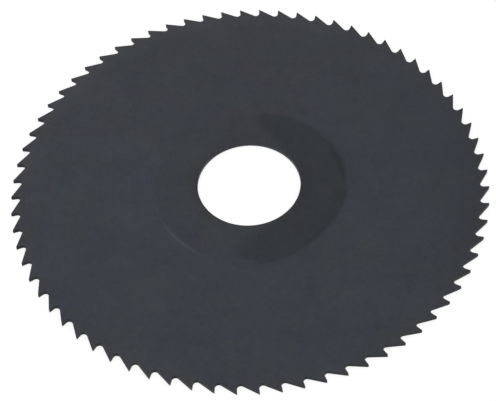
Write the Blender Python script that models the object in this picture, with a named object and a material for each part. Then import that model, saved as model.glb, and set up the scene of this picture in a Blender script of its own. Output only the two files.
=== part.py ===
"""Metal-slitting circular saw blade, ground from one disc of high-speed steel.

The axis of the bore is Z and the middle of the thickness is z = 0. Seen from above, the teeth
point counter-clockwise, and one tooth has its tip on +X. The rim and the hub are at full
thickness; the web between them is ground thinner on both sides, deepest beside the hub, so that
only the rim rubs in the cut and only the hub is clamped.
"""
import math

import bmesh
import bpy
from mathutils import Matrix, Vector

MM = 0.001

# Disc
OUTER_DIAMETER = 125.0 * MM
THICKNESS = 1.2 * MM
BORE_DIAMETER = 27.0 * MM
BORE_CHAMFER = 0.12 * MM

# Hub and hollow-ground web
HUB_DIAMETER = 49.8 * MM
HUB_RAMP = 0.6 * MM
WEB_RELIEF = 0.13 * MM
RIM_BAND = 1.4 * MM

# Teeth
TOOTH_COUNT = 72
TOOTH_DEPTH = 2.4 * MM
RAKE = math.radians(5.0)
GULLET_RADIUS = 0.95 * MM
LAND_WIDTH = 0.22 * MM
LAND_RELIEF = math.radians(14.0)

# Facets of the round stretches
GULLET_FACET = math.radians(15.0)
RING_FACETS_PER_TOOTH = 2
MERGE_DISTANCE = 0.001 * MM
SHARP_ANGLE = math.radians(5.0)

# Black-oxide steel
STEEL_COLOR = (0.048, 0.052, 0.061, 1.0)
STEEL_ROUGHNESS = 0.45
STEEL_METALLIC = 0.8

TIP_RADIUS = OUTER_DIAMETER / 2
GULLET_FLOOR_RADIUS = TIP_RADIUS - TOOTH_DEPTH
BAND_RADIUS = GULLET_FLOOR_RADIUS - RIM_BAND
PITCH = 2 * math.pi / TOOTH_COUNT
UPPER_FACE = THICKNESS / 2


def remove_all_objects():
    """Start from an empty scene."""
    for item in list(bpy.data.objects):
        bpy.data.objects.remove(item, do_unlink=True)


def direction(angle):
    """A unit vector in the plane of the disc."""
    return Vector((math.cos(angle), math.sin(angle)))


def turned(points, angle):
    """Copies of flat points, turned about the bore's axis."""
    turn = Matrix.Rotation(angle, 2)
    return [turn @ point for point in points]


def arc(centre, radius, start, end):
    """Points on a circle from one angle to another, both ends included."""
    steps = max(1, math.ceil(abs(end - start) / GULLET_FACET))
    return [centre + radius * direction(start + (end - start) * step / steps) for step in range(steps + 1)]


def gullet_centre():
    """Centre of the round gullet ahead of the tooth on +X: it touches the face and the gullet floor."""
    down_face = -direction(RAKE)
    beside_tip = Vector((TIP_RADIUS, 0.0)) + GULLET_RADIUS * direction(math.pi / 2 + RAKE)
    centre_radius = GULLET_FLOOR_RADIUS + GULLET_RADIUS
    along = beside_tip.dot(down_face)
    reach = -along - math.sqrt(along ** 2 - beside_tip.length_squared + centre_radius ** 2)
    return beside_tip + reach * down_face


def tangent_angle(centre, point):
    """Angle at which a line from an outer point meets the inner side of the gullet's circle."""
    to_centre = centre - point
    swing = math.asin(GULLET_RADIUS / to_centre.length)
    line_angle = math.atan2(to_centre.y, to_centre.x) - swing
    return line_angle - math.pi / 2


def tooth_outline():
    """Outline of one pitch, from the gullet floor behind the tooth on +X to the floor ahead of it."""
    tip = Vector((TIP_RADIUS, 0.0))
    heel = tip + LAND_WIDTH * direction(-math.pi / 2 - LAND_RELIEF)
    ahead = gullet_centre()
    floor_angle = math.atan2(ahead.y, ahead.x) + math.pi
    face_angle = RAKE + 3 * math.pi / 2
    front = arc(ahead, GULLET_RADIUS, face_angle, floor_angle)

    behind = turned([ahead], -PITCH)[0]
    back_angle = tangent_angle(behind, heel) % (2 * math.pi)
    rear = arc(behind, GULLET_RADIUS, floor_angle - PITCH, back_angle)
    return rear + [heel, tip] + front


def toothed_band(mesh):
    """The full-thickness rim with its teeth, made from one pitch repeated round the axis."""
    outline = tooth_outline()
    start = math.atan2(outline[0].y, outline[0].x)
    facets = range(RING_FACETS_PER_TOOTH, -1, -1)
    inner = [BAND_RADIUS * direction(start + PITCH * facet / RING_FACETS_PER_TOOTH) for facet in facets]
    corners = [mesh.verts.new((point.x, point.y, UPPER_FACE)) for point in outline + inner]
    mesh.faces.new(corners)

    copies = TOOTH_COUNT - 1
    one_pitch = mesh.verts[:] + mesh.edges[:] + mesh.faces[:]
    bmesh.ops.spin(
        mesh, geom=one_pitch, cent=(0, 0, 0), axis=(0, 0, 1), angle=PITCH * copies, steps=copies, use_duplicate=True
    )
    bmesh.ops.remove_doubles(mesh, verts=mesh.verts, dist=MERGE_DISTANCE)

    band = bmesh.ops.extrude_face_region(mesh, geom=mesh.faces[:])
    lower = [item for item in band["geom"] if isinstance(item, bmesh.types.BMVert)]
    bmesh.ops.translate(mesh, verts=lower, vec=(0, 0, -THICKNESS))

    inside = BAND_RADIUS + RIM_BAND / 2
    inner_wall = [face for face in mesh.faces if all(vert.co.xy.length < inside for vert in face.verts)]
    bmesh.ops.delete(mesh, geom=inner_wall, context="FACES")
    return start


def turned_disc(mesh, start):
    """The web, hub and bore, turned from one section that runs from the upper rim to the lower rim."""
    hub_radius = HUB_DIAMETER / 2
    bore_radius = BORE_DIAMETER / 2
    upper_half = [
        (BAND_RADIUS, UPPER_FACE),
        (hub_radius + HUB_RAMP, UPPER_FACE - WEB_RELIEF),
        (hub_radius, UPPER_FACE),
        (bore_radius + BORE_CHAMFER, UPPER_FACE),
        (bore_radius, UPPER_FACE - BORE_CHAMFER),
    ]
    section = upper_half + [(radius, -height) for radius, height in reversed(upper_half)]
    outward = direction(start)
    points = [mesh.verts.new((radius * outward.x, radius * outward.y, height)) for radius, height in section]
    edges = [mesh.edges.new(pair) for pair in zip(points, points[1:])]
    bmesh.ops.spin(
        mesh, geom=points + edges, cent=(0, 0, 0), axis=(0, 0, 1), angle=2 * math.pi,
        steps=TOOTH_COUNT * RING_FACETS_PER_TOOTH, use_merge=True,
    )


def oxide_steel():
    """Dark, satin, black-oxide high-speed steel."""
    material = bpy.data.materials.new("black_oxide_steel")
    material.use_nodes = True
    shader = material.node_tree.nodes["Principled BSDF"]
    shader.inputs["Base Color"].default_value = STEEL_COLOR
    shader.inputs["Roughness"].default_value = STEEL_ROUGHNESS
    shader.inputs["Metallic"].default_value = STEEL_METALLIC
    return material


def saw_blade():
    """The whole blade as one closed solid."""
    mesh = bmesh.new()
    start = toothed_band(mesh)
    turned_disc(mesh, start)
    bmesh.ops.remove_doubles(mesh, verts=mesh.verts, dist=MERGE_DISTANCE)
    bmesh.ops.recalc_face_normals(mesh, faces=mesh.faces)

    data = bpy.data.meshes.new("blade")
    mesh.to_mesh(data)
    mesh.free()
    data.materials.append(oxide_steel())
    data.shade_smooth()
    data.set_sharp_from_angle(angle=SHARP_ANGLE)
    blade = bpy.data.objects.new("blade", data)
    bpy.context.scene.collection.objects.link(blade)


remove_all_objects()
saw_blade()
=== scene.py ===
"""Finish, light and camera for a black-oxide metal-slitting saw blade.

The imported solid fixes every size. A finer blade of the same form stands for it: rounder gullets and
bore, edges broken as they leave the grinding wheel, and a blended shoulder where the hub meets the
hollow-ground web. The teeth point counter-clockwise seen from above, and one tip lies on +X.
"""
import math

import bmesh
import bpy
from mathutils import Matrix, Vector


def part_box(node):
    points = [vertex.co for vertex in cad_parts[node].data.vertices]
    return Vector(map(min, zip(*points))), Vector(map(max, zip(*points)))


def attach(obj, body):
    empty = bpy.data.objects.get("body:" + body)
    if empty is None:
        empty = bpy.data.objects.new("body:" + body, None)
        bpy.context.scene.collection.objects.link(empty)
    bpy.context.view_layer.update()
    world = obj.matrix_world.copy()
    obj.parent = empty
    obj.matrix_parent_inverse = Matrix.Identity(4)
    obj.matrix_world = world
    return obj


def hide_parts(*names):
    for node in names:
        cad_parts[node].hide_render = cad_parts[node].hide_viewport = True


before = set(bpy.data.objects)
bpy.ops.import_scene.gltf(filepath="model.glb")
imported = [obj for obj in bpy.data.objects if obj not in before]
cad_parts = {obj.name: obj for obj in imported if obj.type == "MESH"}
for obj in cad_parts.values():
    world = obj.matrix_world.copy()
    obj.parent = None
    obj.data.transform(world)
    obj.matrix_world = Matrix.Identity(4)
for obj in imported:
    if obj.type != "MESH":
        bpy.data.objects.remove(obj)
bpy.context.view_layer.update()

MM = 0.001
DEGREE = math.radians(1.0)

# Sizes that the solid gives
blade_low, blade_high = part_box("blade")
TIP_RADIUS = blade_high.x
UPPER_FACE = blade_high.z
THICKNESS = blade_high.z - blade_low.z

# Bore, hub, web and rim
BORE_RADIUS = 13.5 * MM
BORE_CHAMFER = 0.12 * MM
HUB_RADIUS = 24.9 * MM
HUB_SHOULDER = 0.6 * MM
SHOULDER_RINGS = 6
SUPPORT_STEP = 0.15 * MM
WEB_RELIEF = 0.13 * MM
RIM_BAND = 1.4 * MM

# Teeth
TOOTH_COUNT = 72
TOOTH_DEPTH = 2.4 * MM
RAKE = 5.0 * DEGREE
GULLET_RADIUS = 0.95 * MM
LAND_WIDTH = 0.22 * MM
LAND_RELIEF = 14.0 * DEGREE

# Broken edges of the teeth, which are the ones that turn by more than STEEP_EDGE
EDGE_BREAK = 0.035 * MM
STEEP_EDGE = 60.0 * DEGREE

# Walls of the teeth: how far up they may look, and how near the tips the ground lands begin
WALL_TILT = 0.5
LAND_REACH = 0.3 * MM

# Facets
GULLET_FACET = 7.0 * DEGREE
RING_FACETS_PER_TOOTH = 4
MERGE_DISTANCE = 0.001 * MM
SHARP_ANGLE = 17.0 * DEGREE

# Radii of the gullet floors and of the rim band's inner edge, and the angle from tooth to tooth
GULLET_FLOOR_RADIUS = TIP_RADIUS - TOOTH_DEPTH
BAND_RADIUS = GULLET_FLOOR_RADIUS - RIM_BAND
PITCH = 2 * math.pi / TOOTH_COUNT

# Slot of the tooth walls' finish, after the ground faces' one
TOOTH_WALL_SLOT = 1

# Oxide over the ground faces
COLD_OXIDE = (0.0403, 0.0458, 0.0556, 1.0)
WARM_OXIDE = (0.0421, 0.0444, 0.0507, 1.0)
OXIDE_METALLIC = 0.85
FACE_ROUGHNESS = 0.45
FACE_ROUGHNESS_SPREAD = 0.04

# Clouds of tone and hue in the oxide. A noise repeats in rays round its own centre, so both patterns are
# taken well away from it
CLOUD_SIZE = 14.0 * MM
CLOUD_TONE = 0.76
CLOUD_TINT = 0.42
CLOUD_RANGE = (0.3, 0.7)
TONE_DETAIL = 5.0
TONE_ROUGHNESS = 1.0
TONE_AWAY = (-0.37, -0.55, 0.29)
HUE_DETAIL = 4.0
HUE_ROUGHNESS = 0.95
HUE_AWAY = (0.31, 0.17, 0.05)
NOISE_MIDDLE = 0.5

# Warmer oxide toward one side of the blade, behind a ragged front
WARM_SIDE = 98.0 * DEGREE
WARM_START = 0.1 * TIP_RADIUS
RAGGED_SIZE = 30.0 * MM
RAGGED_REACH = 60.0 * MM
RAGGED_DETAIL = 2.0
RAGGED_ROUGHNESS = 0.6

# Warmer rings at the rim, round the bore and over the hub: where each starts and where it is full, in
# millimetres, and the share of warm oxide that it adds
WARM_RINGS = ((54.0, 61.0, 0.7), (18.0, 14.0, 0.8), (25.3, 24.3, 0.4))

# Oxide on the walls of the teeth, darkened with painted shade: darkest in the gullets, a little lighter on
# the tooth faces and the backs
GULLET_SHADED_COLD = (0.0135, 0.0145, 0.0162, 1.0)
GULLET_SHADED_WARM = (0.0155, 0.0148, 0.0148, 1.0)
BACK_COLD = (0.0245, 0.0275, 0.0330, 1.0)
BACK_WARM = (0.0258, 0.0272, 0.0308, 1.0)
TOOTH_FACE_GAIN = 0.75
GULLET_ROUGHNESS = 0.55
GULLET_ROUGHNESS_SPREAD = 0.08
GULLET_CLOUD_SIZE = 4.0 * MM
GULLET_CLOUD_TONE = 0.5
GULLET_CLOUD_TINT = 0.3
GULLET_WARM_SIZE = 6.0 * MM
GULLET_WARM_DETAIL = 2.0

# How far the backs and the tooth faces look the way of the cut, from 1 straight ahead to -1 straight
# behind, and how softly each finish begins
BACK_FACING = -0.47
BACK_BLUR = 0.25
TOOTH_FACE_FACING = 0.97
TOOTH_FACE_BLUR = 0.12

# Grinding lines, which come and go in patches
FACE_LINE = 0.14 * MM
FACE_PATCH = 9.0 * MM
FACE_LINE_TONE = 0.50
GULLET_LINE = 0.07 * MM
GULLET_PATCH = 2.0 * MM
GULLET_LINE_TONE = 0.6
LINE_DETAIL = 3.0
LINE_ROUGHNESS = 0.65
LINE_RANGE = (-0.3, 0.3)
LINE_DEPTH = 0.012 * MM
PATCH_RANGE = (0.3, 0.7)
FAINT_LINES = 0.25

# Grain of the oxide
GRAIN_SIZE = 0.90 * MM
GRAIN_ROUGHNESS = 0.6
GRAIN_TONE = 0.16
GRAIN_HEIGHT = 0.5

# Small rubs that run two ways: the angle of each way and how much lighter its rubs are
RUB_SPACING = 0.35 * MM
RUB_LENGTH = 7.0 * MM
RUB_RANGE = (0.72, 0.80)
RUBS = ((24.0 * DEGREE, 0.10), (-61.0 * DEGREE, 0.07))

# Painted shade on one side of the hub, outside an off-centre circle and inside the hub's edge
HUB_SHADE_CIRCLE = 20.7 * MM
HUB_SHADE_SHIFT = 9.5 * MM
HUB_SHADE_SIDE = -12.0 * DEGREE
HUB_SHADE_BLUR = 2.0 * MM
HUB_SHADE_MIDDLE = -9.5 * DEGREE
HUB_SHADE_HALF_TURN = 90.0 * DEGREE
HUB_SHADE_END_BLUR = 7.0 * DEGREE
HUB_SHADE_TONE = -0.215

# The painted shade's outer edge: it waves, is sharper where it bulges, and draws in at both ends
HUB_SHADE_EDGE = 25.35 * MM
HUB_SHADE_EDGE_BLUR = 0.7 * MM
HUB_SHADE_WAVES = 4.0
HUB_SHADE_WAVE = 0.35 * MM
HUB_SHADE_WAVE_BLUR = -0.2 * MM
HUB_SHADE_DRAW_IN = 1.9 * MM
HUB_SHADE_FAR_END = (36.0 * DEGREE, 92.0 * DEGREE)
HUB_SHADE_NEAR_END = (-97.0 * DEGREE, -83.0 * DEGREE)

# The painted shade's tint: where it starts and where it is full, counted from its middle
NO_TINT = (1.0, 1.0, 1.0, 1.0)
HUB_SHADE_TINT = (0.950, 1.020, 0.990, 1.0)
HUB_SHADE_TINTED_FROM = (25.0 * DEGREE, 60.0 * DEGREE)

# Broad differences of tone: painted light toward the left, along the ragged front, on the hub, and from
# tooth to tooth
LEFT_PAINTED_LIGHT = 0.05
RAGGED_TONE = 0.10
HUB_TONE = -0.035
TOOTH_TONE = 0.10
TOOTH_TONE_STARTS = GULLET_FLOOR_RADIUS - 0.5 * MM
TOOTH_TONE_FULL = GULLET_FLOOR_RADIUS + 1.0 * MM

# Stretches of the upper face that are a little lighter or darker. Each is a ring (middle
# radius, half width and side blur, in millimetres), a sweep (middle angle, half turn and end blur, in
# degrees) and the change in tone. ALL_ROUND is the sweep of a whole ring
ALL_ROUND = (0.0, 400.0, 1.0)

# The rim: painted light on the far side and the near side, painted shade on the right and at the lower left
RIM_PAINTED_SHADING = (
    ((60.0, 2.6, 2.6), (110.0, 50.0, 30.0), 0.13),
    ((60.0, 2.0, 2.2), (210.0, 15.0, 20.0), -0.05),
    ((60.0, 4.0, 3.0), (-68.0, 12.0, 20.0), 0.06),
    ((62.0, 8.0, 8.0), (-8.0, 25.0, 25.0), -0.08),
)

# The web: two broad, faint patches
WEB_STRETCHES = (
    ((45.0, 13.0, 5.0), (306.0, 16.0, 14.0), 0.035),
    ((30.0, 5.0, 4.0), (128.0, 16.0, 12.0), -0.04),
)

# The web beside the shoulder: painted light on the left, painted shade on the right, the upper left and the
# near side
FOOT_PAINTED_SHADING = (
    ((26.7, 1.4, 1.1), (8.0, 17.0, 10.0), -0.08),
    ((26.0, 1.2, 0.9), (147.0, 12.0, 12.0), -0.055),
    ((27.0, 2.0, 1.5), (180.0, 20.0, 12.0), 0.03),
    ((27.9, 2.0, 1.1), (217.0, 7.0, 5.0), 0.06),
    ((26.1, 0.8, 0.8), (-88.0, 7.0, 7.0), -0.12),
    ((26.2, 0.7, 0.6), (-72.0, 6.0, 5.0), -0.06),
)

# The shoulder: painted shade all round, more so on its far side and the right, and a painted highlight at
# the lower left
SHOULDER_PAINTED_SHADING = (
    ((25.2, 0.25, 0.25), ALL_ROUND, -0.04),
    ((25.2, 0.3, 0.3), (92.0, 58.0, 14.0), -0.085),
    ((25.2, 0.45, 0.4), (56.0, 12.0, 8.0), -0.085),
    ((25.75, 0.25, 0.25), (57.0, 11.0, 7.0), 0.06),
    ((25.4, 0.55, 0.45), (20.0, 11.0, 7.0), -0.13),
    ((25.7, 0.25, 0.25), (-12.0, 3.0, 1.5), -0.15),
    ((25.2, 0.45, 0.4), (-45.0, 18.0, 8.0), 0.05),
    ((25.0, 3.4, 1.5), (-47.0, 7.0, 7.0), 0.065),
    ((25.0, 0.5, 0.5), (-81.0, 4.0, 4.0), 0.05),
    ((25.25, 0.35, 0.35), (222.0, 11.0, 9.0), 0.165),
    ((25.5, 1.0, 0.9), (217.0, 14.0, 10.0), 0.045),
)

# The hub: painted shade in dark streaks with a gap along the edge of the larger painted shade, and painted
# light on the far side and the left
HUB_PAINTED_SHADING = (
    ((24.5, 0.7, 0.5), (15.0, 13.0, 8.0), -0.165),
    ((23.7, 0.6, 0.5), (1.0, 6.0, 5.0), 0.06),
    ((23.9, 1.6, 0.9), (-14.0, 5.0, 4.0), -0.085),
    ((24.2, 0.4, 0.4), (-42.0, 16.0, 8.0), -0.12),
    ((23.6, 0.9, 0.6), (235.0, 7.0, 6.0), -0.055),
    ((24.0, 1.0, 0.6), (92.0, 28.0, 20.0), 0.045),
    ((18.7, 3.0, 1.5), (208.0, 25.0, 12.0), 0.035),
)

# Round the bore: darker on the left
BORE_STRETCHES = (
    ((13.6, 0.5, 0.9), (180.0, 60.0, 40.0), -0.12),
    ((14.5, 2.0, 2.0), (130.0, 55.0, 25.0), -0.06),
)

TONED_STRETCHES = (
    *RIM_PAINTED_SHADING, *WEB_STRETCHES, *FOOT_PAINTED_SHADING, *SHOULDER_PAINTED_SHADING, *HUB_PAINTED_SHADING, *BORE_STRETCHES,
)

# Stretches where the hue varies less: the right side of the face, and the painted highlight on the shoulder
EVEN_STRETCHES = (
    ((42.0, 30.0, 2.0), (24.0, 26.0, 18.0), -0.68),
    ((25.3, 1.0, 0.8), (219.0, 17.0, 10.0), -0.9),
)

# Camera, fitted to the outline in the photo, which is taken as 496 pixels wide
PHOTO_WIDTH = 496
FOCAL_PIXELS = 1525.5
SENSOR_WIDTH = 36.0
CAMERA_AZIMUTH = 0.93 * DEGREE
CAMERA_ELEVATION = 53.22 * DEGREE
CAMERA_ROLL = -4.1 * DEGREE
CAMERA_DISTANCE = 396.97 * MM
CAMERA_TARGET = Vector((-0.493 * MM, -5.123 * MM, 0.0))
CAMERA_NEAR = 10.0 * MM
CAMERA_FAR = 100.0

# Floor of white paper, pale room and soft lamp, in metres and watts
FLOOR_RADIUS = 3.0
FLOOR_SIDES = 96
FLOOR_GAP = 0.02 * MM
PAPER_COLOR = (0.22, 0.22, 0.22, 1.0)
FLOOR_GLOW = 0.845
ROOM_COLOR = (1.0, 1.0, 1.0, 1.0)
ROOM_LIGHT = 0.8
ROOM_SEEN = 1.0
LAMP_SIZE = 0.3
LAMP_POWER = 0.32
LAMP_PLACE = Vector((-0.40, 0.27, 0.76))


def direction(angle):
    """A unit vector in the plane of the blade."""
    return Vector((math.cos(angle), math.sin(angle)))


def turned(points, angle):
    """Copies of flat points, turned about the bore's axis."""
    turn = Matrix.Rotation(angle, 2)
    return [turn @ point for point in points]


def arc(centre, radius, start, end):
    """Points on a circle from one angle to another, both ends included."""
    steps = max(1, math.ceil(abs(end - start) / GULLET_FACET))
    return [centre + radius * direction(start + (end - start) * step / steps) for step in range(steps + 1)]


def gullet_centre():
    """Centre of the gullet ahead of the tooth on +X: it touches that tooth's face and the gullet floor."""
    down_face = -direction(RAKE)
    beside_tip = Vector((TIP_RADIUS, 0.0)) + GULLET_RADIUS * direction(math.pi / 2 + RAKE)
    centre_radius = GULLET_FLOOR_RADIUS + GULLET_RADIUS
    along = beside_tip.dot(down_face)
    reach = -along - math.sqrt(along ** 2 - beside_tip.length_squared + centre_radius ** 2)
    return beside_tip + reach * down_face


def tangent_angle(centre, point):
    """Angle at which a line from an outer point meets the inner side of the gullet's circle."""
    to_centre = centre - point
    swing = math.asin(GULLET_RADIUS / to_centre.length)
    return math.atan2(to_centre.y, to_centre.x) - swing - math.pi / 2


def tooth_outline():
    """Outline of one pitch, from the gullet floor behind the tooth on +X to the floor ahead of it."""
    tip = Vector((TIP_RADIUS, 0.0))
    heel = tip + LAND_WIDTH * direction(-math.pi / 2 - LAND_RELIEF)
    ahead = gullet_centre()
    floor_angle = math.atan2(ahead.y, ahead.x) + math.pi
    front = arc(ahead, GULLET_RADIUS, RAKE + 3 * math.pi / 2, floor_angle)

    behind = turned([ahead], -PITCH)[0]
    back_angle = tangent_angle(behind, heel) % (2 * math.pi)
    rear = arc(behind, GULLET_RADIUS, floor_angle - PITCH, back_angle)
    return rear + [heel, tip] + front


def toothed_band(mesh, outline):
    """The full-thickness rim with its teeth, made from one pitch repeated round the axis."""
    start = math.atan2(outline[0].y, outline[0].x)
    facets = range(RING_FACETS_PER_TOOTH, -1, -1)
    inner = [BAND_RADIUS * direction(start + PITCH * facet / RING_FACETS_PER_TOOTH) for facet in facets]
    mesh.faces.new([mesh.verts.new((point.x, point.y, UPPER_FACE)) for point in outline + inner])

    copies = TOOTH_COUNT - 1
    bmesh.ops.spin(
        mesh, geom=mesh.verts[:] + mesh.edges[:] + mesh.faces[:], cent=(0, 0, 0), axis=(0, 0, 1),
        angle=PITCH * copies, steps=copies, use_duplicate=True,
    )
    bmesh.ops.remove_doubles(mesh, verts=mesh.verts, dist=MERGE_DISTANCE)

    band = bmesh.ops.extrude_face_region(mesh, geom=mesh.faces[:])
    lower = [item for item in band["geom"] if isinstance(item, bmesh.types.BMVert)]
    bmesh.ops.translate(mesh, verts=lower, vec=(0, 0, -THICKNESS))
    inside = BAND_RADIUS + RIM_BAND / 2
    inner_wall = [face for face in mesh.faces if all(vert.co.xy.length < inside for vert in face.verts)]
    bmesh.ops.delete(mesh, geom=inner_wall, context="FACES")


def shoulder_points():
    """The blended step from the web up to the hub, outermost point first."""
    points = []
    for ring in range(SHOULDER_RINGS + 1):
        inward = ring / SHOULDER_RINGS
        rise = inward * inward * (3 - 2 * inward)
        points.append((HUB_RADIUS + HUB_SHOULDER * (1 - inward), UPPER_FACE - WEB_RELIEF * (1 - rise)))
    return points


def turned_disc(mesh, start):
    """The web, hub and bore, turned from one section that runs from the upper rim to the lower rim."""
    foot = HUB_RADIUS + HUB_SHOULDER
    upper_half = [
        (BAND_RADIUS, UPPER_FACE),
        (BAND_RADIUS - SUPPORT_STEP, UPPER_FACE),
        (foot + SUPPORT_STEP, UPPER_FACE - WEB_RELIEF),
        *shoulder_points(),
        (HUB_RADIUS - SUPPORT_STEP, UPPER_FACE),
        (BORE_RADIUS + BORE_CHAMFER, UPPER_FACE),
        (BORE_RADIUS, UPPER_FACE - BORE_CHAMFER),
    ]
    section = upper_half + [(radius, -height) for radius, height in reversed(upper_half)]
    outward = direction(start)
    points = [mesh.verts.new((radius * outward.x, radius * outward.y, height)) for radius, height in section]
    edges = [mesh.edges.new(pair) for pair in zip(points, points[1:])]
    bmesh.ops.spin(
        mesh, geom=points + edges, cent=(0, 0, 0), axis=(0, 0, 1), angle=2 * math.pi,
        steps=TOOTH_COUNT * RING_FACETS_PER_TOOTH, use_merge=True,
    )


def break_edges(mesh):
    """Take the sharp corner off the outline of the teeth, above and below."""
    rim = (BAND_RADIUS + GULLET_FLOOR_RADIUS) / 2
    outline = [
        edge for edge in mesh.edges
        if edge.is_manifold and min(vert.co.xy.length for vert in edge.verts) > rim
        and abs(edge.verts[0].co.z - edge.verts[1].co.z) < MERGE_DISTANCE
        and edge.calc_face_angle() > STEEP_EDGE
    ]
    bmesh.ops.bevel(
        mesh, geom=outline, offset=EDGE_BREAK, offset_type="OFFSET", affect="EDGES", segments=1,
        profile=0.5, material=-1, clamp_overlap=True,
    )


def mark_tooth_walls(mesh):
    """Give the walls of the teeth their own finish, which is darkened with painted shade. The ground lands
    and the bore keep the faces' one.
    """
    lands = TIP_RADIUS - LAND_REACH
    for face in mesh.faces:
        if abs(face.normal.z) < WALL_TILT and BAND_RADIUS < face.calc_center_median().xy.length < lands:
            face.material_index = TOOTH_WALL_SLOT


def new_object(name, data):
    """A new object in the scene."""
    item = bpy.data.objects.new(name, data)
    bpy.context.scene.collection.objects.link(item)
    return item


def mesh_object(name, mesh):
    """An object made of a finished bmesh, which is used up."""
    data = bpy.data.meshes.new(name)
    mesh.to_mesh(data)
    mesh.free()
    return new_object(name, data)


def make_blade():
    """The blade that stands for the solid."""
    mesh = bmesh.new()
    outline = tooth_outline()
    toothed_band(mesh, outline)
    turned_disc(mesh, math.atan2(outline[0].y, outline[0].x))
    bmesh.ops.remove_doubles(mesh, verts=mesh.verts, dist=MERGE_DISTANCE)
    bmesh.ops.recalc_face_normals(mesh, faces=mesh.faces)
    break_edges(mesh)
    mark_tooth_walls(mesh)
    bmesh.ops.triangulate(mesh, faces=[face for face in mesh.faces if len(face.verts) > 4])

    blade = mesh_object("slitting_blade", mesh)
    blade.data.shade_smooth()
    blade.data.set_sharp_from_angle(angle=SHARP_ANGLE)
    return blade


def feed(tree, source, socket):
    """Link an output to a socket, or give the socket a plain value."""
    if isinstance(source, bpy.types.NodeSocket):
        tree.links.new(source, socket)
    else:
        socket.default_value = source


def feed_all(tree, step, values):
    """Feed a node's inputs by their names."""
    for name, source in values.items():
        feed(tree, source, step.inputs[name])


def used(sockets):
    """The sockets that a node uses in the way it is set."""
    return [socket for socket in sockets if socket.enabled]


def calc(tree, operation, *sources, kind="ShaderNodeMath"):
    """A Math node fed by outputs or plain numbers. Returns its output."""
    step = tree.nodes.new(kind)
    step.operation = operation
    for source, socket in zip(sources, used(step.inputs)):
        feed(tree, source, socket)
    return used(step.outputs)[0]


def vector_calc(tree, operation, *sources):
    """A Vector Math node fed by outputs or plain vectors. Returns its output."""
    return calc(tree, operation, *sources, kind="ShaderNodeVectorMath")


def fade(tree, value, low, high, start=0.0, end=1.0):
    """A smooth change from start at low to end at high."""
    step = tree.nodes.new("ShaderNodeMapRange")
    step.interpolation_type = "SMOOTHSTEP"
    feed_all(tree, step, {"Value": value, "From Min": low, "From Max": high, "To Min": start, "To Max": end})
    return step.outputs["Result"]


def noise(tree, place, scale, detail=1.0, roughness=0.5, dimensions="3D"):
    """A Noise Texture node. Returns its outputs."""
    step = tree.nodes.new("ShaderNodeTexNoise")
    step.noise_dimensions = dimensions
    place_socket = "W" if dimensions == "1D" else "Vector"
    feed_all(tree, step, {place_socket: place, "Scale": scale, "Detail": detail, "Roughness": roughness})
    return step.outputs


def centred(tree, pattern):
    """A noise moved to lie about zero."""
    return calc(tree, "SUBTRACT", pattern, NOISE_MIDDLE)


def combine(tree, x, y, z):
    """A vector from three values."""
    step = tree.nodes.new("ShaderNodeCombineXYZ")
    feed_all(tree, step, {"X": x, "Y": y, "Z": z})
    return step.outputs[0]


def split(tree, vector):
    """The three values of a vector."""
    step = tree.nodes.new("ShaderNodeSeparateXYZ")
    feed(tree, vector, step.inputs[0])
    return step.outputs


def toned(tree, tone, changes):
    """The tone after some changes, which are pairs of a mask and the gain in tone where the mask is 1."""
    for mask, gain in changes:
        tone = calc(tree, "MULTIPLY", tone, calc(tree, "MULTIPLY_ADD", mask, gain, 1.0))
    return tone


def uneven(tree, pattern, pattern_range, middle, spread):
    """A value that varies about its middle with a pattern."""
    return fade(tree, pattern, *pattern_range, middle - spread, middle + spread)


def blended(tree, share, first, second):
    """A colour between two colours."""
    mix = tree.nodes.new("ShaderNodeMix")
    mix.data_type = "RGBA"
    for source, socket in zip((share, first, second), used(mix.inputs)):
        feed(tree, source, socket)
    return used(mix.outputs)[0]


def new_group(name, inputs, outputs):
    """An empty shader node group. Inputs and outputs give each socket's kind by its name."""
    group = bpy.data.node_groups.new(name, "ShaderNodeTree")
    for way, sockets in (("INPUT", inputs), ("OUTPUT", outputs)):
        for socket_name, kind in sockets.items():
            group.interface.new_socket(socket_name, in_out=way, socket_type="NodeSocket" + kind)
    return group, group.nodes.new("NodeGroupInput").outputs, group.nodes.new("NodeGroupOutput").inputs


def placed(tree, group, values):
    """A group placed in a material with its own values. Returns its outputs."""
    step = tree.nodes.new("ShaderNodeGroup")
    step.node_tree = group
    feed_all(tree, step, values)
    return step.outputs


def round_the_bore():
    """Distance from the bore's axis, angle about it, and which face is up."""
    group, given, made = new_group(
        "round_the_bore", {"Place": "Vector"}, {"Radius": "Float", "Angle": "Float", "Upper": "Float"}
    )
    x, y, z = split(group, given["Place"])
    group.links.new(vector_calc(group, "LENGTH", combine(group, x, y, 0.0)), made["Radius"])
    group.links.new(calc(group, "ARCTAN2", y, x), made["Angle"])
    group.links.new(calc(group, "GREATER_THAN", z, 0.0), made["Upper"])
    return group


def arc_band():
    """Mask of a stretch of ring about the bore, with soft sides and soft ends."""
    across = ("Radius", "Middle Radius", "Half Width", "Side Blur")
    along = ("Angle", "Middle Angle", "Half Turn", "End Blur")
    group, given, made = new_group("arc_band", dict.fromkeys(across + along, "Float"), {"Mask": "Float"})
    off_ring = calc(group, "ABSOLUTE", calc(group, "SUBTRACT", given["Radius"], given["Middle Radius"]))
    outside = calc(group, "ADD", given["Half Width"], given["Side Blur"])
    inside = calc(group, "SUBTRACT", given["Half Width"], given["Side Blur"])
    ring = fade(group, off_ring, outside, inside)

    turn = calc(group, "SUBTRACT", given["Angle"], given["Middle Angle"])
    off_middle = calc(group, "ABSOLUTE", calc(group, "WRAP", turn, math.pi, -math.pi))
    beyond = calc(group, "ADD", given["Half Turn"], given["End Blur"])
    within = calc(group, "SUBTRACT", given["Half Turn"], given["End Blur"])
    sweep = fade(group, off_middle, beyond, within)
    group.links.new(calc(group, "MULTIPLY", ring, sweep), made["Mask"])
    return group


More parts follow.
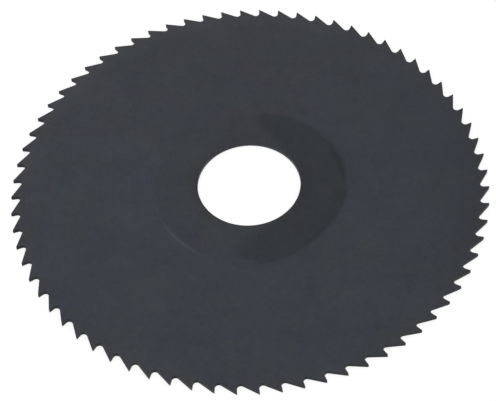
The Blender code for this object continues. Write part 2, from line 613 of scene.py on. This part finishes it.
def mottled_oxide():
    """Black oxide between two tints, clouded in tone and hue from fine grain up to large patches."""
    group, given, made = new_group(
        "mottled_oxide",
        {"Place": "Vector", "Cold": "Color", "Warm": "Color", "Warmth": "Float", "Cloud Size": "Float",
         "Tone": "Float", "Tint": "Float"},
        {"Color": "Color", "Cloud": "Float"},
    )
    scale = calc(group, "DIVIDE", 1.0, given["Cloud Size"])
    tone_place = vector_calc(group, "ADD", given["Place"], TONE_AWAY)
    cloud = noise(group, tone_place, scale, TONE_DETAIL, TONE_ROUGHNESS)["Fac"]
    group.links.new(cloud, made["Cloud"])
    hue_place = vector_calc(group, "ADD", given["Place"], HUE_AWAY)
    hues = noise(group, hue_place, scale, HUE_DETAIL, HUE_ROUGHNESS)["Color"]
    tint = vector_calc(group, "SUBTRACT", hues, (NOISE_MIDDLE, NOISE_MIDDLE, NOISE_MIDDLE))
    tint = vector_calc(group, "SCALE", tint, given["Tint"])

    oxide = blended(group, given["Warmth"], given["Cold"], given["Warm"])
    level = calc(group, "MULTIPLY_ADD", centred(group, cloud), given["Tone"], 1.0)
    shift = vector_calc(group, "ADD", tint, combine(group, level, level, level))
    group.links.new(vector_calc(group, "MULTIPLY", oxide, shift), made["Color"])
    return group


def grinding_lines():
    """Fine lines left by a grinding wheel: their height, which comes and goes over the surface."""
    group, given, made = new_group(
        "grinding_lines",
        {"Place": "Vector", "Across": "Float", "Spacing": "Float", "Patch Size": "Float"},
        {"Height": "Float"},
    )
    patch = noise(group, given["Place"], calc(group, "DIVIDE", 1.0, given["Patch Size"]))["Fac"]
    wander = calc(group, "MULTIPLY", patch, given["Spacing"])
    line = calc(group, "DIVIDE", calc(group, "ADD", given["Across"], wander), given["Spacing"])
    lines = noise(group, line, 1.0, LINE_DETAIL, LINE_ROUGHNESS, "1D")["Fac"]
    strength = fade(group, patch, *PATCH_RANGE, FAINT_LINES, 1.0)
    group.links.new(calc(group, "MULTIPLY", centred(group, lines), strength), made["Height"])
    return group


def small_rubs():
    """Mask of sparse hair-fine rub marks that all run one way."""
    group, given, made = new_group(
        "small_rubs",
        {"Place": "Vector", "Way": "Float", "Spacing": "Float", "Length": "Float"},
        {"Mask": "Float"},
    )
    rotate = group.nodes.new("ShaderNodeVectorRotate")
    rotate.rotation_type = "Z_AXIS"
    feed_all(group, rotate, {"Vector": given["Place"], "Angle": given["Way"]})
    x, y, z = split(group, rotate.outputs[0])
    along = calc(group, "DIVIDE", x, given["Length"])
    across = calc(group, "DIVIDE", y, given["Spacing"])
    hairs = noise(group, combine(group, along, across, z), 1.0)["Fac"]
    group.links.new(fade(group, hairs, *RUB_RANGE), made["Mask"])
    return group


def steel(name):
    """A material for oxidised steel. Returns it with its tree and its shader's inputs."""
    material = bpy.data.materials.new(name)
    material.use_nodes = True
    surface = material.node_tree.nodes["Principled BSDF"].inputs
    surface["Metallic"].default_value = OXIDE_METALLIC
    return material, material.node_tree, surface


def raised(tree, height):
    """A normal bumped by a height, which is counted in line depths."""
    bump = tree.nodes.new("ShaderNodeBump")
    feed_all(tree, bump, {"Strength": 1.0, "Distance": LINE_DEPTH, "Height": height})
    return bump.outputs[0]


def stretch_changes(tree, groups, polar, stretches):
    """Changes along some stretches of the upper face."""
    changes = []
    for ring, sweep, gain in stretches:
        middle, half_width, side_blur = (size * MM for size in ring)
        middle_angle, half_turn, end_blur = (turn * DEGREE for turn in sweep)
        band = placed(tree, groups["arc_band"], {
            "Radius": polar["Radius"], "Angle": polar["Angle"],
            "Middle Radius": middle, "Half Width": half_width, "Side Blur": side_blur,
            "Middle Angle": middle_angle, "Half Turn": half_turn, "End Blur": end_blur,
        })
        changes.append((calc(tree, "MULTIPLY", band["Mask"], polar["Upper"]), gain))
    return changes


def shade_outline_mask(tree, radius, angle):
    """Mask of what lies inside the outer edge of the painted shade on the hub."""
    wave = calc(tree, "COSINE", calc(tree, "MULTIPLY", angle, HUB_SHADE_WAVES))
    far_edge = fade(tree, angle, *HUB_SHADE_FAR_END, HUB_SHADE_EDGE, HUB_SHADE_EDGE - HUB_SHADE_DRAW_IN)
    near_edge = fade(tree, angle, *HUB_SHADE_NEAR_END, HUB_SHADE_EDGE - HUB_SHADE_DRAW_IN, HUB_SHADE_EDGE)
    edge = calc(tree, "MULTIPLY_ADD", wave, HUB_SHADE_WAVE, calc(tree, "MINIMUM", far_edge, near_edge))
    blur = calc(tree, "MULTIPLY_ADD", wave, HUB_SHADE_WAVE_BLUR, HUB_SHADE_EDGE_BLUR)
    return fade(tree, calc(tree, "SUBTRACT", radius, edge), blur, calc(tree, "MULTIPLY", blur, -1.0))


def painted_hub_shade(tree, place, polar, off_middle):
    """Mask of the painted shade on one side of the upper hub face."""
    x, y, _ = split(tree, place)
    circle_centre = -HUB_SHADE_SHIFT * direction(HUB_SHADE_SIDE)
    off_centre = vector_calc(tree, "DISTANCE", combine(tree, x, y, 0.0), (*circle_centre, 0.0))
    beyond = fade(tree, off_centre, HUB_SHADE_CIRCLE - HUB_SHADE_BLUR, HUB_SHADE_CIRCLE + HUB_SHADE_BLUR)
    sweep = fade(tree, off_middle, HUB_SHADE_HALF_TURN + HUB_SHADE_END_BLUR, HUB_SHADE_HALF_TURN - HUB_SHADE_END_BLUR)
    hub_shade = calc(tree, "MULTIPLY", beyond, shade_outline_mask(tree, polar["Radius"], polar["Angle"]))
    return calc(tree, "MULTIPLY", hub_shade, calc(tree, "MULTIPLY", sweep, polar["Upper"]))


def shade_tint_color(tree, hub_shade, off_middle):
    """Tint of the painted shade on the hub, from none at its middle to full toward both its ends."""
    share = calc(tree, "MULTIPLY", hub_shade, fade(tree, off_middle, *HUB_SHADE_TINTED_FROM))
    return blended(tree, share, NO_TINT, HUB_SHADE_TINT)


def face_warmth(tree, place, radius, ragged):
    """Share of warm oxide on the ground faces."""
    warm_way = (*direction(WARM_SIDE), 0.0)
    toward_warm = vector_calc(tree, "DOT_PRODUCT", place, warm_way)
    toward_warm = calc(tree, "MULTIPLY_ADD", ragged, RAGGED_REACH, toward_warm)
    warmth = fade(tree, toward_warm, WARM_START, TIP_RADIUS)
    for start, full, share in WARM_RINGS:
        warmth = calc(tree, "ADD", warmth, fade(tree, radius, start * MM, full * MM, 0.0, share))
    return warmth


def face_lines(tree, groups, place, radius):
    """Height of the grinding lines, which run round the axis on the faces and on the bore's wall."""
    in_bore = calc(tree, "LESS_THAN", radius, BORE_RADIUS + BORE_CHAMFER / 2)
    across = calc(tree, "MULTIPLY_ADD", in_bore, split(tree, place)["Z"], radius)
    return placed(tree, groups["grinding_lines"], {
        "Place": place, "Across": across, "Spacing": FACE_LINE, "Patch Size": FACE_PATCH,
    })["Height"]


def tooth_shade(tree, polar):
    """A value from -0.5 to 0.5 that differs from tooth to tooth, and 0 inside the rim."""
    pitches = calc(tree, "DIVIDE", calc(tree, "ADD", polar["Angle"], PITCH / 2), PITCH)
    number = calc(tree, "WRAP", calc(tree, "FLOOR", pitches), TOOTH_COUNT, 0.0)
    white = tree.nodes.new("ShaderNodeTexWhiteNoise")
    white.noise_dimensions = "1D"
    tree.links.new(number, white.inputs["W"])
    on_teeth = fade(tree, polar["Radius"], TOOTH_TONE_STARTS, TOOTH_TONE_FULL)
    return calc(tree, "MULTIPLY", centred(tree, white.outputs["Value"]), on_teeth)


def broad_changes(tree, place, polar):
    """Broad changes of tone: painted light toward the left, on the hub, and from tooth to tooth."""
    # Painted light: the faces grow lighter toward the left
    leftward = calc(tree, "DIVIDE", split(tree, place)["X"], -TIP_RADIUS)
    on_hub = calc(tree, "LESS_THAN", polar["Radius"], HUB_RADIUS)
    return [(leftward, LEFT_PAINTED_LIGHT), (on_hub, HUB_TONE), (tooth_shade(tree, polar), TOOTH_TONE)]


def rub_changes(tree, groups, place):
    """Changes of tone where the blade has small rubs."""
    changes = []
    for way, gain in RUBS:
        rubs = placed(tree, groups["small_rubs"], {
            "Place": place, "Way": way, "Spacing": RUB_SPACING, "Length": RUB_LENGTH,
        })
        changes.append((rubs["Mask"], gain))
    return changes


def oxide_faces(groups):
    """Satin oxide over the ground faces, clouded in tone and hue, with painted shade on one side of the hub
    and painted light and shade in stretches.
    """
    material, tree, surface = steel("black_oxide_faces")
    place = tree.nodes.new("ShaderNodeTexCoord").outputs["Object"]
    polar = placed(tree, groups["round_the_bore"], {"Place": place})
    ragged = centred(tree, noise(tree, place, 1 / RAGGED_SIZE, RAGGED_DETAIL, RAGGED_ROUGHNESS)["Fac"])
    grain = noise(tree, place, 1 / GRAIN_SIZE, roughness=GRAIN_ROUGHNESS)["Fac"]
    lines = face_lines(tree, groups, place, polar["Radius"])
    off_middle = calc(tree, "ABSOLUTE", calc(tree, "SUBTRACT", polar["Angle"], HUB_SHADE_MIDDLE))
    # Painted shade on one side of the hub face
    hub_shade = painted_hub_shade(tree, place, polar, off_middle)

    oxide = placed(tree, groups["mottled_oxide"], {
        "Place": place, "Cold": COLD_OXIDE, "Warm": WARM_OXIDE,
        "Warmth": face_warmth(tree, place, polar["Radius"], ragged),
        "Cloud Size": CLOUD_SIZE, "Tone": CLOUD_TONE,
        "Tint": toned(tree, CLOUD_TINT, stretch_changes(tree, groups, polar, EVEN_STRETCHES)),
    })
    tone = toned(tree, 1.0, [
        (lines, FACE_LINE_TONE),
        (centred(tree, grain), GRAIN_TONE),
        (hub_shade, HUB_SHADE_TONE),
        (ragged, RAGGED_TONE),
        *broad_changes(tree, place, polar),
        *rub_changes(tree, groups, place),
        # Painted light and shade in stretches on the rim, round the shoulder and on the hub, with a few
        # other lighter and darker stretches
        *stretch_changes(tree, groups, polar, TONED_STRETCHES),
    ])
    color = vector_calc(tree, "MULTIPLY", oxide["Color"], shade_tint_color(tree, hub_shade, off_middle))
    roughness = uneven(tree, oxide["Cloud"], CLOUD_RANGE, FACE_ROUGHNESS, FACE_ROUGHNESS_SPREAD)
    height = calc(tree, "MULTIPLY_ADD", grain, GRAIN_HEIGHT, lines)
    tree.links.new(vector_calc(tree, "SCALE", color, tone), surface["Base Color"])
    tree.links.new(roughness, surface["Roughness"])
    tree.links.new(raised(tree, height), surface["Normal"])
    return material


def wall_facing(tree, normal, angle):
    """How far a wall looks the way of the cut, from 1 straight ahead to -1 straight behind."""
    leftward = calc(tree, "MULTIPLY", calc(tree, "SINE", angle), -1.0)
    ahead = combine(tree, leftward, calc(tree, "COSINE", angle), 0.0)
    return vector_calc(tree, "DOT_PRODUCT", normal, ahead)


def shaded_oxide_gullets(groups):
    """Oxide on the tooth faces, gullet floors and backs, rougher than on the ground faces and darker with
    painted shade that is deepest in the gullets.
    """
    material, tree, surface = steel("black_oxide_gullets_painted_shade")
    texture = tree.nodes.new("ShaderNodeTexCoord").outputs
    place = texture["Object"]
    polar = placed(tree, groups["round_the_bore"], {"Place": place})
    facing = wall_facing(tree, texture["Normal"], polar["Angle"])
    # Painted shade: the gullet floors darkest, the backs and the tooth faces lighter
    open_back = fade(tree, facing, BACK_FACING + BACK_BLUR, BACK_FACING)
    tooth_face = fade(tree, facing, TOOTH_FACE_FACING - TOOTH_FACE_BLUR, TOOTH_FACE_FACING)

    oxide = placed(tree, groups["mottled_oxide"], {
        "Place": place, "Cold": blended(tree, open_back, GULLET_SHADED_COLD, BACK_COLD),
        "Warm": blended(tree, open_back, GULLET_SHADED_WARM, BACK_WARM),
        "Warmth": noise(tree, place, 1 / GULLET_WARM_SIZE, GULLET_WARM_DETAIL)["Fac"],
        "Cloud Size": GULLET_CLOUD_SIZE, "Tone": GULLET_CLOUD_TONE, "Tint": GULLET_CLOUD_TINT,
    })
    round_rim = calc(tree, "MULTIPLY", polar["Angle"], GULLET_FLOOR_RADIUS)
    across = calc(tree, "SUBTRACT", round_rim, polar["Radius"])
    lines = placed(tree, groups["grinding_lines"], {
        "Place": place, "Across": across, "Spacing": GULLET_LINE, "Patch Size": GULLET_PATCH,
    })["Height"]
    tone = toned(tree, 1.0, [(lines, GULLET_LINE_TONE), (tooth_face, TOOTH_FACE_GAIN)])
    roughness = uneven(tree, lines, LINE_RANGE, GULLET_ROUGHNESS, GULLET_ROUGHNESS_SPREAD)
    tree.links.new(vector_calc(tree, "SCALE", oxide["Color"], tone), surface["Base Color"])
    tree.links.new(roughness, surface["Roughness"])
    tree.links.new(raised(tree, lines), surface["Normal"])
    return material


def add_camera():
    """The camera, where the photo was taken from."""
    back = Vector((
        math.sin(CAMERA_AZIMUTH) * math.cos(CAMERA_ELEVATION),
        -math.cos(CAMERA_AZIMUTH) * math.cos(CAMERA_ELEVATION),
        math.sin(CAMERA_ELEVATION),
    ))
    level = Vector((math.cos(CAMERA_AZIMUTH), math.sin(CAMERA_AZIMUTH), 0.0))
    right = math.cos(CAMERA_ROLL) * level + math.sin(CAMERA_ROLL) * back.cross(level)
    up = back.cross(right)

    camera = new_object("camera", bpy.data.cameras.new("camera"))
    camera.data.sensor_width = SENSOR_WIDTH
    camera.data.lens = FOCAL_PIXELS * SENSOR_WIDTH / PHOTO_WIDTH
    camera.data.clip_start = CAMERA_NEAR
    camera.data.clip_end = CAMERA_FAR
    turn = Matrix((right, up, back)).transposed().to_4x4()
    camera.matrix_world = Matrix.Translation(CAMERA_TARGET + CAMERA_DISTANCE * back) @ turn
    bpy.context.scene.camera = camera


def seen_light(tree):
    """1 for rays that show the background: from the camera, in metal and through glass."""
    rays = tree.nodes.new("ShaderNodeLightPath")
    shown = rays.outputs["Is Camera Ray"]
    for name in ("Is Glossy Ray", "Is Transmission Ray"):
        shown = calc(tree, "MAXIMUM", shown, rays.outputs[name])
    return shown


def white_paper():
    """Paper that glows white to the camera and in the metal, and can't be seen from below."""
    material = bpy.data.materials.new("white_floor")
    material.use_nodes = True
    tree = material.node_tree
    tree.nodes.clear()
    paper = tree.nodes.new("ShaderNodeBsdfDiffuse")
    paper.inputs["Color"].default_value = PAPER_COLOR
    glow = tree.nodes.new("ShaderNodeEmission")
    tree.links.new(calc(tree, "MULTIPLY", seen_light(tree), FLOOR_GLOW), glow.inputs["Strength"])
    both = tree.nodes.new("ShaderNodeAddShader")
    tree.links.new(paper.outputs[0], both.inputs[0])
    tree.links.new(glow.outputs[0], both.inputs[1])

    from_below = tree.nodes.new("ShaderNodeMixShader")
    tree.links.new(tree.nodes.new("ShaderNodeNewGeometry").outputs["Backfacing"], from_below.inputs["Fac"])
    tree.links.new(both.outputs[0], from_below.inputs[1])
    tree.links.new(tree.nodes.new("ShaderNodeBsdfTransparent").outputs[0], from_below.inputs[2])
    output = tree.nodes.new("ShaderNodeOutputMaterial")
    tree.links.new(from_below.outputs[0], output.inputs["Surface"])
    return material


def add_floor():
    """A round white floor just under the blade."""
    mesh = bmesh.new()
    bmesh.ops.create_circle(mesh, cap_ends=True, segments=FLOOR_SIDES, radius=FLOOR_RADIUS)
    bmesh.ops.translate(mesh, verts=mesh.verts, vec=(0, 0, blade_low.z - FLOOR_GAP))
    floor = mesh_object("floor", mesh)
    floor.data.materials.append(white_paper())


def add_room():
    """An even pale room."""
    world = bpy.data.worlds.new("pale_room")
    bpy.context.scene.world = world
    world.use_nodes = True
    tree = world.node_tree
    background = tree.nodes["Background"]
    background.inputs["Color"].default_value = ROOM_COLOR
    strength = fade(tree, seen_light(tree), 0.0, 1.0, ROOM_LIGHT, ROOM_SEEN)
    tree.links.new(strength, background.inputs["Strength"])


def add_lamp():
    """One soft lamp high on the left, turned to the blade."""
    lamp = bpy.data.lights.new("left_softbox", "AREA")
    lamp.shape = "RECTANGLE"
    lamp.size = LAMP_SIZE
    lamp.size_y = LAMP_SIZE
    lamp.energy = LAMP_POWER
    softbox = new_object("left_softbox", lamp)
    softbox.location = LAMP_PLACE
    softbox.rotation_euler = (-LAMP_PLACE).to_track_quat("-Z", "Y").to_euler()


add_camera()
group_makers = (round_the_bore, arc_band, mottled_oxide, grinding_lines, small_rubs)
groups = {make.__name__: make() for make in group_makers}
blade = make_blade()
blade.data.materials.append(oxide_faces(groups))
blade.data.materials.append(shaded_oxide_gullets(groups))
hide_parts("blade")
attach(blade, "root")
add_floor()
add_room()
add_lamp()

scene = bpy.context.scene
scene.view_settings.view_transform = "Standard"
